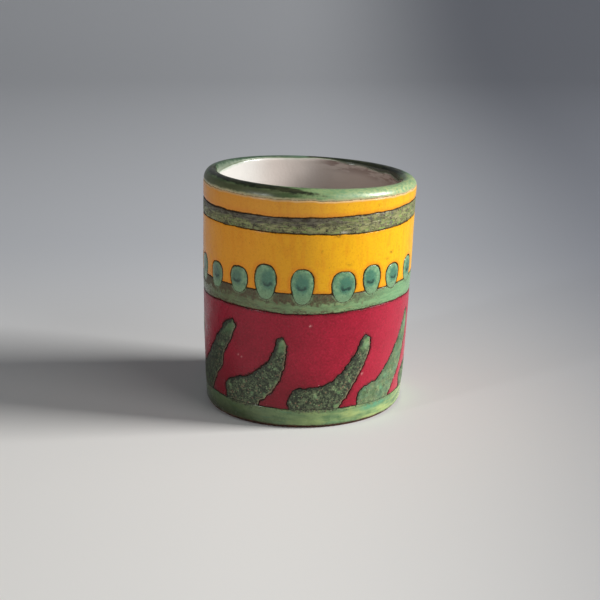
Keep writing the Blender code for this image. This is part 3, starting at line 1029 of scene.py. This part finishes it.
def olive_glaze():
    paint = Paint("olive_glaze")
    rise, side = paint.facts("rise", "side")
    # Painted shade: the stripe's left side gets more speckles and a stronger dark veil along its
    # top.
    painted_shade_left = paint.ramp(side, 0.6, 0.0)
    paint.start(paint.ramp(paint.streaks(0.6, 1, 4.0), 0.38, 0.6), (112, 120, 76), (160, 158, 108))
    fresh = paint.ramp(paint.streaks(0.5, 6, 4.0), 0.5, 0.64)
    paint.lay((136, 166, 80), fresh, 0.8)
    speckles, tone = paint.grain(*OLIVE_GRAIN)
    density = paint.plus(paint.ramp(paint.streaks(0.6, 3, 3.0), 0.42, 0.58, 0.0, 0.9), painted_shade_left, 0.22)
    paint.lay(speckles, density)
    veil = paint.plus(rise, paint.streaks(0.8, 4, 4.0), 1.4)
    veil = paint.times(paint.ramp(veil, 1.05, 1.45), paint.plus(0.15, painted_shade_left, 0.75))
    uneven = paint.ramp(paint.streaks(0.4, 8, 4.0), 0.4, 0.62)
    paint.lay(paint.mix(uneven, (58, 50, 42), (106, 100, 86)), veil)
    blotch = paint.ramp(paint.streaks(0.7, 5, 2.0), 0.58, 0.68)
    paint.lay((96, 92, 90), blotch, paint.ramp(side, 0.0, 0.6), 0.7)
    paint.lay((210, 204, 186), paint.fact("mark"))
    paint.outline((50, 38, 24), 0.34)
    return paint.grainy(tone, density)


def celadon_glaze():
    paint = Paint("celadon_glaze")
    rise, side, gap = paint.facts("rise", "side", "gap")
    paint.start(paint.ramp(paint.streaks(0.7, 1), 0.35, 0.65), (110, 140, 96), (134, 166, 116))
    paint.lay((156, 170, 116), paint.ramp(paint.streaks(0.35, 7), 0.53, 0.62, 0.0, 0.6))
    speckles, noise = paint.grain(*CELADON_GRAIN)
    upper = paint.ramp(paint.plus(rise, paint.cloud(1.1, 3), 0.9), 0.85, 1.12)
    upper = paint.times(upper, paint.ramp(side, 0.85, 0.4, 0.1, 1.0))
    upper = paint.times(upper, paint.ramp(gap, 0.0, 0.7, 0.1, 1.0))
    scattered = paint.ramp(paint.streaks(0.8, 4, 3.0), 0.48, 0.66)
    scattered = paint.times(scattered, paint.ramp(side, 0.9, 0.0, 0.15, 1.0))
    density = paint.plus(paint.times(upper, 0.9), scattered, 0.5)
    paint.lay(speckles, density)
    paint.lay((88, 72, 50), upper, 0.55)
    dashes = paint.ramp(paint.streaks(0.35, 9, 3.0), 0.5, 0.6)
    paint.lay((84, 62, 42), paint.ramp(rise, 0.34, 0.12), dashes, 0.7)
    # Painted shade: browner on the left.
    paint.lay((78, 60, 42), paint.ramp(side, 0.5, -0.9, 0.0, 0.62))
    paint.lay((128, 158, 120), paint.ramp(gap, 0.5, 0.0), 0.6)
    # Painted light: mintier towards the lit right.
    paint.lay((112, 166, 122), paint.ramp(side, 0.2, 0.9, 0.0, 0.5))
    paint.outline((74, 52, 34), 0.3)
    return paint.grainy(noise, density)


def leaf_glaze():
    paint = Paint("leaf_glaze")
    rise, side, foot = paint.facts("rise", "side", "foot")
    paint.start(paint.ramp(paint.streaks(1.0, 1), 0.34, 0.64), (102, 132, 88), (124, 152, 100))
    paint.lay((76, 112, 70), paint.ramp(paint.cloud(1.7, 8, detail=3.0), 0.46, 0.6, 0.0, 0.55))
    sunny = paint.ramp(paint.streaks(1.2, 2), 0.36, 0.66)
    # Painted light: the yellow-green streaks stronger towards the lit right.
    paint.lay((176, 192, 118), sunny, paint.ramp(side, -0.45, 0.9, 0.15, 0.8))
    paint.lay((88, 148, 112), paint.ramp(paint.streaks(0.7, 3), 0.54, 0.68, 0.0, 0.35))
    paint.lay((84, 150, 116), paint.fact("pond"), paint.ramp(paint.cloud(1.4, 4), 0.3, 0.5), 0.75)
    speckles, _ = paint.grain(*SAGE_GRAIN)
    top = paint.ramp(paint.plus(rise, paint.cloud(0.8, 5), 0.5), 1.02, 1.22)
    paint.lay(speckles, paint.fact("grain"), top, 0.9)
    # Painted shade: darker on the left, most towards the foot.
    paint.lay((50, 54, 28), paint.ramp(side, 0.35, -0.8), paint.ramp(rise, 0.0, 1.0, 0.95, 0.6))
    low = paint.ramp(paint.plus(rise, paint.cloud(1.0, 6), 0.2), 0.24, 0.08)
    paint.lay((74, 66, 40), low, 0.8)
    between_flames = paint.times(paint.ramp(foot, 0.6, 0.2), paint.ramp(rise, 0.7, 0.85))
    paint.outline((40, 32, 22), 0.3, share=between_flames)
    return paint.glossy(0.16, 0.28)


def turquoise_glaze():
    paint = Paint("turquoise_glaze")
    rise, across, aside = paint.facts("rise", "across", "aside")
    paint.start(paint.ramp(paint.cloud(0.9, 1), 0.35, 0.65), (104, 150, 112), (134, 176, 132))
    off_centre = paint.plus(across, aside)
    side = paint.times(off_centre, off_centre)
    up = paint.math("SUBTRACT", rise, 0.56)
    round_off = paint.plus(paint.times(up, up, 4.0), side, 0.9)
    ragged = paint.plus(round_off, paint.cloud(0.8, 2), 0.5)
    paint.lay((62, 118, 98), paint.ramp(ragged, 0.85, 0.35, 0.0, 0.85))
    # Painted shade: greyer and browner on the left.
    paint.lay((104, 100, 84), paint.ramp(paint.fact("side"), -0.1, -0.9, 0.0, 0.4))
    curve = paint.plus(paint.plus(rise, side, -0.30), paint.cloud(0.7, 3), 0.16)
    crescent = paint.times(paint.ramp(curve, 0.43, 0.48), paint.ramp(curve, 0.60, 0.50))
    paint.lay((26, 54, 48), crescent, paint.ramp(side, 0.30, 0.06), 0.85)
    low = paint.ramp(paint.plus(rise, paint.cloud(0.6, 4), 0.2), 0.46, 0.18, 0.0, 0.75)
    paint.lay((120, 152, 112), low)
    specks = paint.ramp(paint.cloud(0.36, 5, rough=0.7), 0.57, 0.64, 0.0, 0.45)
    paint.lay((66, 78, 54), specks)
    paint.outline((58, 48, 26), 0.25, beading=0.4, share=paint.ramp(rise, 0.1, 0.3))
    return paint.glossy(0.2, 0.32)


def rim_green_glaze():
    paint = Paint("rim_green_glaze")
    edge, rise, side, dark, behind = paint.facts("edge", "rise", "side", "dark", "behind")
    paint.start(paint.ramp(paint.streaks(0.9, 1), 0.36, 0.64), (78, 112, 66), (134, 158, 108))
    paint.lay((56, 80, 50), paint.ramp(paint.cloud(0.5, 2), 0.5, 0.68, 0.0, 0.4))
    # Painted shade: a dull olive low on the left of the rim.
    painted_shade_left = paint.times(paint.ramp(side, 0.1, -0.5), paint.ramp(rise, 0.5, 0.3))
    paint.lay((88, 88, 60), painted_shade_left, 0.8)
    # Painted light: paler towards the lit right.
    paint.lay((164, 186, 136), paint.ramp(side, -0.15, 0.5, 0.0, 0.85))
    mottle = paint.ramp(paint.streaks(0.5, 9, 2.0), 0.44, 0.6)
    paint.lay((104, 148, 108), mottle, paint.ramp(side, -0.2, 0.4), 0.7)
    warm = paint.ramp(paint.cloud(0.8, 10, detail=3.0), 0.5, 0.64)
    paint.lay((188, 188, 126), warm, paint.ramp(side, 0.2, 0.8), 0.5)
    teal = paint.mix(paint.ramp(paint.streaks(0.7, 7), 0.4, 0.6), (66, 106, 90), (106, 134, 116))
    paint.lay(teal, paint.ramp(behind, -0.1, 0.3, 0.0, 0.85))
    paint.lay((46, 60, 40), paint.ramp(behind, -0.1, 0.2), paint.ramp(side, 0.1, -0.4), 0.65)
    thin = paint.ramp(paint.plus(rise, paint.cloud(0.9, 8), 0.5), 1.1, 1.35)
    thin = paint.times(thin, paint.ramp(side, 0.0, -0.5), paint.ramp(behind, -0.1, 0.15))
    paint.lay((150, 162, 140), thin, 0.45)
    # Painted shade: the rim's green laid nearly black at the front left and the back right.
    shade_green = paint.mix(paint.ramp(paint.streaks(0.4, 5), 0.4, 0.6), (20, 26, 16), (60, 62, 40))
    pool = paint.plus(paint.plus(dark, paint.streaks(0.6, 3), 0.9), paint.cloud(1.0, 11), 0.9)
    paint.lay(shade_green, paint.ramp(pool, 1.1, 1.65, 0.0, 0.97))
    pale = paint.ramp(paint.plus(edge, paint.cloud(0.7, 4), 0.5), 0.75, 0.3)
    paint.lay((190, 182, 138), pale, paint.ramp(rise, 0.4, 0.1), 0.85)
    paint.lay((130, 140, 106), paint.ramp(edge, 0.35, 0.05), paint.ramp(rise, 0.7, 0.9), 0.5)
    return paint.glossy(0.28, 0.4, specular=0.6)


def white_glaze():
    paint = Paint("white_glaze")
    edge, side = paint.facts("edge", "side")
    paint.start(paint.cloud(6.0, 1), (200, 188, 180), (210, 201, 195))
    # Painted shade on the right, browner; painted light on the left, whiter.
    paint.lay((186, 160, 146), paint.ramp(side, -0.1, 0.7, 0.0, 0.8))
    paint.lay((226, 228, 224), paint.ramp(side, -0.35, -0.75, 0.0, 0.6))
    # Painted shade: brown streaks in the shaded right, near the rim.
    shade_streaks = paint.ramp(paint.streaks(1.6, 2, 3.0), 0.42, 0.58)
    paint.lay((118, 84, 74), shade_streaks, paint.ramp(side, 0.0, 0.35), paint.ramp(edge, 4.5, 1.0), 0.8)
    green = paint.ramp(paint.plus(edge, paint.cloud(1.0, 3), 0.6), 1.0, 0.3)
    paint.lay((150, 176, 150), green, 0.5)
    paint.lay((150, 120, 100), paint.dots(3.0, 0.16, 0.2, 4), 0.6)
    return paint.glossy(0.13, 0.2)


def clay():
    """Bare clay at the foot, the dark drawing pigment on the wall, pale slip under the rim."""
    paint = Paint("clay")
    up = paint.fact("up")
    grains = paint.ramp(paint.cloud(0.5, 2, detail=3.0), 0.55, 0.7, 0.0, 0.6)
    bare = paint.mix(paint.cloud(2.5, 1), (150, 98, 74), (176, 122, 94))
    bare = paint.mix(grains, bare, (110, 68, 50))
    stained = paint.mix(paint.ramp(paint.cloud(1.2, 5), 0.4, 0.6), (58, 36, 26), (88, 54, 38))
    paint.start(paint.ramp(up, -0.5, 0.15), bare, stained)
    broken = paint.ramp(paint.cloud(0.6, 3, detail=3.0), 0.4, 0.56)
    low_line = paint.mix(broken, (30, 22, 16), (92, 40, 34))
    high_line = paint.mix(broken, (36, 28, 18), (112, 78, 34))
    waist_line = paint.mix(broken, (66, 36, 26), (122, 60, 48))
    line = paint.mix(paint.ramp(up, 26.0, 27.0), low_line, waist_line)
    line = paint.mix(paint.ramp(up, 28.8, 29.6), line, high_line)
    seam = paint.times(paint.ramp(up, 28.9, 29.5), paint.ramp(up, 32.3, 31.5))
    line = paint.mix(paint.math("MAXIMUM", seam, paint.fact("foot")), line, (92, 104, 72))
    paint.lay(line, paint.ramp(up, 0.7, 0.9))
    slip = paint.times(paint.ramp(up, 53.0, 53.4), paint.ramp(up, 54.8, 54.4))
    cream = paint.mix(paint.ramp(paint.cloud(0.9, 4), 0.4, 0.6), (186, 160, 116), (222, 206, 170))
    paint.lay(cream, slip)
    paint.lay((176, 180, 156), paint.ramp(up, 55.6, 56.2))
    return paint.done(0.78, 0.3, paint.bump(grains, 0.06))


# Pieces

def add_red():
    mesh, points = ring("red_glaze", red_field, BASE_TOP, RED_TOP)
    store(mesh, "mark", np.clip(spots(points, RED_HOLES), 0, 0.8))
    add_piece(mesh, "red_glaze", red_glaze())


def add_waist():
    mesh, points = ring("waist_glaze", waist_field, RED_TOP, WAIST_TOP, waist_relief)
    store(mesh, "gap", drop_gap(points))
    add_piece(mesh, "waist_glaze", celadon_glaze())


def add_amber(amber):
    mesh, points = ring("amber_glaze", amber_field, WAIST_TOP, AMBER_TOP)
    store(mesh, "mark", spots(points, AMBER_SPECKS))
    store(mesh, "low_side", np.clip((AMBER_TOP - 2 - points[:, 1]) / 4, 0, 1))
    store(mesh, "collar", np.zeros(len(points)))
    add_piece(mesh, "amber_glaze", amber)


def add_flames():
    sage = sage_glaze()
    for k, outline in enumerate(FLAMES):
        node = f"flame_{k + 1}"
        mesh, points = pool(
            node, BASE_TOP, outline[:, 1].max(), outline, lambda *place: one_flame(*place, k),
            lambda places: np.clip((places[:, 1] - BASE_TOP) / FLAME_MELT, 0, 1),
        )
        along, up = points.T
        right = flame_field(along + LEE_STEP, up - LEE_STEP, k)
        left = flame_field(along - LEE_STEP, up + LEE_STEP, k)
        store(mesh, "lee", right - left)
        store(mesh, "grain", np.full(len(points), FLAME_GRAIN[k]))
        add_piece(mesh, node, sage)


def add_drops():
    """The drops' dark middles sit a little to one side, each by its own share."""
    turquoise = turquoise_glaze()
    for k, outline in enumerate(DROPS):
        node = f"drop_{k + 1:02d}"
        middle, width, top, bottom = drop_facts(k)
        mesh, points = pool(
            node, bottom, top, outline, lambda *place: one_drop(*place, k),
            lambda places: np.clip((places[:, 1] - WAIST_TOP + DROP_MELT) / (2 * DROP_MELT), 0, 1),
        )
        store(mesh, "across", (points[:, 0] - middle) / (width / 2))
        store(mesh, "aside", np.full(len(points), 0.22 * math.sin(2.4 * k + 2.9)))
        add_piece(mesh, node, turquoise)


def base_relief(points):
    """Level with the flames at their feet."""
    return 1 - flame_feet(points) * np.clip(points[:, 1] - FOOT_LOW, 0, 1)


def add_base():
    mesh, points = hoop(
        "base_glaze", BASE_LOW, BASE_TOP, lambda along: border(along, BASE_LOW),
        lambda along: border(along, BASE_TOP) - SEAM, relief=base_relief,
    )
    store(mesh, "foot", flame_feet(points))
    store(mesh, "grain", flame_feet(points, FLAME_GRAIN))
    store(mesh, "pond", spots(points, BASE_PUDDLES))
    add_piece(mesh, "base_glaze", leaf_glaze())


def add_stripe():
    mesh, points = lined_hoop("stripe_glaze", AMBER_TOP, STRIPE_TOP)
    store(mesh, "mark", spots(points, STRIPE_CHIPS))
    add_piece(mesh, "stripe_glaze", olive_glaze())


def add_collar(amber):
    mesh, points = lined_hoop("collar_glaze", STRIPE_TOP, COLLAR_TOP)
    middle = (STRIPE_TOP + COLLAR_TOP) / 2
    store(mesh, "mark", spots(points, COLLAR_SPECKS))
    store(mesh, "low_side", np.clip(0.5 - (points[:, 1] - middle), 0, 1))
    store(mesh, "collar", np.ones(len(points)))
    add_piece(mesh, "collar_glaze", amber)


def add_rim():
    mesh, points = hoop(
        "rim_glaze", COLLAR_TOP, INSIDE_UP, upper_side(COLLAR_TOP),
        lambda along: rim_edge(along) - SEAM, step=RIM_STEP,
    )
    rise = (points[:, 1] - COLLAR_TOP) / (INSIDE_UP - COLLAR_TOP)
    store(mesh, "dark", rim_painted_shade(points[:, 0], rise))
    store(mesh, "behind", -np.cos(points[:, 0] / WALL_RADIUS))
    add_piece(mesh, "rim_glaze", rim_green_glaze())


def add_lining():
    """The white inside. Its painted light on the left and painted shade on the right fade with
    depth.
    """
    last = UP[-1] - LINING_HOLE
    depth = last - INSIDE_UP
    near_edge = np.array(EDGE_ROWS) / depth
    rows = np.concatenate([near_edge, np.linspace(LINING_EDGE / depth, 1.0, LINING_ROWS)])
    sheet = hoop_sheet(
        lambda along: rim_edge(along) + SEAM, lambda along: along * 0 + last, rows, closed_top=True,
    )
    points, values, _ = sheet
    mesh = closed_mesh("lining_glaze", *sheet)
    shallow = np.clip(1 - (points[:, 1] - INSIDE_UP - WHITE_DEPTH) / WHITE_FADE, 0, 1)
    store(mesh, "edge", np.clip(values, 0, EDGE_REACH))
    store(mesh, "up", points[:, 1])
    store(mesh, "side", shallow * np.sin(points[:, 0] / WALL_RADIUS))
    add_piece(mesh, "lining_glaze", white_glaze())


def build_cup():
    amber = amber_glaze()
    add_piece(clay_mesh(), "clay_body", clay())
    add_red()
    add_waist()
    add_amber(amber)
    add_flames()
    add_drops()
    add_base()
    add_stripe()
    add_collar(amber)
    add_rim()
    add_lining()


# Studio

def floor_paint():
    """Bluer and darker towards the back and the right: painted shade, as the light falls off."""
    paint = Paint("floor")
    split_place = paint.node("ShaderNodeSeparateXYZ", {0: paint.place})
    right, depth = split_place.outputs[0], split_place.outputs[1]
    paint.start(paint.ramp(depth, -60.0, 160.0), (235, 234, 231), (198, 201, 206))
    paint.lay((104, 108, 118), paint.ramp(right, -20.0, 130.0, 0.0, 0.85))
    return paint.done(0.75, 0.2)


def add_stage():
    """A pale floor that curves up into a backdrop."""
    profile = [(FLOOR_FRONT, 0.0), (FLOOR_BEND, 0.0)]
    for k in range(1, BACKDROP_STEPS + 1):
        t = math.radians(90 * k / BACKDROP_STEPS)
        depth = FLOOR_BEND + BACKDROP_RADIUS * math.sin(t)
        profile.append((depth, BACKDROP_RADIUS * (1 - math.cos(t))))
    profile.append((FLOOR_BEND + BACKDROP_RADIUS, BACKDROP_TOP))
    points = [(x, y, z) for y, z in profile for x in (-FLOOR_HALF_WIDTH, FLOOR_HALF_WIDTH)]
    faces = [(2 * k, 2 * k + 1, 2 * k + 3, 2 * k + 2) for k in range(len(profile) - 1)]
    mesh = bpy.data.meshes.new("floor")
    mesh.from_pydata(points, [], faces)
    mesh.shade_smooth()
    mesh.materials.append(floor_paint())
    floor = bpy.data.objects.new("floor", mesh)
    bpy.context.scene.collection.objects.link(floor)


def add_light(name, turn, height, distance, size, power, colour):
    """An area light that faces the cup, from an angle round it and an angle up in degrees."""
    data = bpy.data.lights.new(name, "AREA")
    data.shape = "RECTANGLE"
    data.size, data.size_y = size
    data.energy = power
    data.color = colour
    light = bpy.data.objects.new(name, data)
    turn, height = math.radians(turn), math.radians(height)
    level = math.cos(height)
    away = Vector((math.sin(turn) * level, -math.cos(turn) * level, math.sin(height)))
    light.location = Vector((0.0, 0.0, HEIGHT / 2 * MM)) + distance * away
    light.rotation_euler = away.to_track_quat("Z", "Y").to_euler()
    bpy.context.scene.collection.objects.link(light)


def add_world():
    world = bpy.data.worlds.new("studio")
    world.use_nodes = True
    background = world.node_tree.nodes["Background"]
    background.inputs["Color"].default_value = WORLD_COLOUR
    background.inputs["Strength"].default_value = WORLD_STRENGTH
    bpy.context.scene.world = world


def add_camera():
    data = bpy.data.cameras.new("camera")
    data.lens = CAMERA_LENS
    data.sensor_width = CAMERA_SENSOR
    data.shift_x, data.shift_y = CAMERA_SHIFT
    data.clip_start = 0.01
    camera = bpy.data.objects.new("camera", data)
    tilt = math.radians(CAMERA_ELEVATION)
    back = CAMERA_DISTANCE * MM
    target = Vector((-MIDDLE_X * MM, 0.0, HEIGHT / 2 * MM))
    camera.location = target + Vector((0.0, -back * math.cos(tilt), back * math.sin(tilt)))
    camera.rotation_euler = (math.radians(90) - tilt, 0.0, 0.0)
    bpy.context.scene.collection.objects.link(camera)
    bpy.context.scene.camera = camera


build_cup()
add_stage()
for light_facts in LIGHTS:
    add_light(*light_facts)
add_world()
add_camera()
bpy.context.scene.view_settings.view_transform = "Standard"
